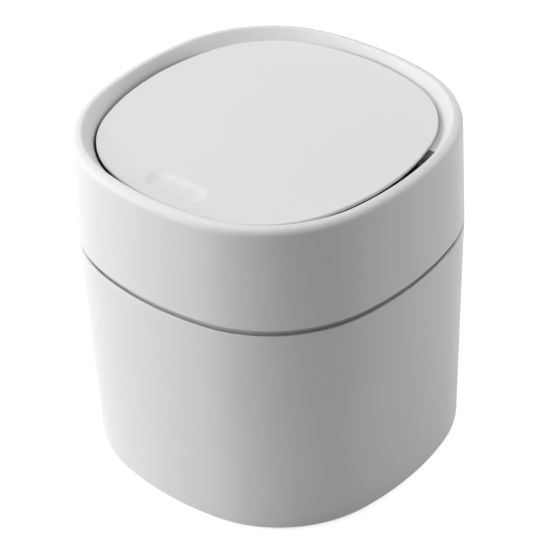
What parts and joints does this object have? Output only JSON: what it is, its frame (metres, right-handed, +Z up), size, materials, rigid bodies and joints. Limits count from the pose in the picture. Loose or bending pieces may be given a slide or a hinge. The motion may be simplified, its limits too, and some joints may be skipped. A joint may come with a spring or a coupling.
{
  "type": "push top countertop bin",
  "caption": "Small square countertop bin with bowed sides, a lift-off lid and a sprung push flap that swings down into the bin when its dimple is pressed.",
  "frame": {"origin": "centre of the footprint, on the surface that the bin stands on", "axes": "+Z up, -Y towards the dimple side (front), +X to the right seen from the front"},
  "size_m": [0.16, 0.16, 0.1608],
  "materials": {
    "white_plastic": "matte",
    "inner_plastic": "matte",
    "soft_pad": "matte",
    "bearing_plastic": "satin",
    "pin_steel": "satin",
    "spring_steel": "satin"
  },
  "bodies": {
    "bin": {"bin_body": "white_plastic", "foot_pad_front_left": "soft_pad", "foot_pad_front_right": "soft_pad", "foot_pad_rear_left": "soft_pad", "foot_pad_rear_right": "soft_pad"},
    "lid": {"lid_collar": "white_plastic", "lid_frame": "inner_plastic", "pivot_bushing_left": "bearing_plastic", "pivot_bushing_right": "bearing_plastic", "rest_pad_left": "soft_pad", "rest_pad_right": "soft_pad", "return_spring_left": "spring_steel", "return_spring_right": "spring_steel"},
    "flap": {"flap_cover": "white_plastic", "flap_carrier": "inner_plastic", "flap_screws": "pin_steel", "pivot_pin_left": "pin_steel", "pivot_pin_right": "pin_steel"}
  },
  "joints": [
    {"name": "lid_lift", "type": "slide", "parent": "bin", "child": "lid", "axis": [0, 0, 1], "range_m": [0, 0.12]},
    {"name": "flap_swing", "type": "hinge", "parent": "lid", "child": "flap", "pos_m": [0, 0.032, 0.1495], "axis": [1, 0, 0], "range_deg": [0, 68], "stiffness_Nm_per_rad": 0.03, "springref_deg": -80.21, "deforming": ["return_spring_left", "return_spring_right"]}
  ]
}
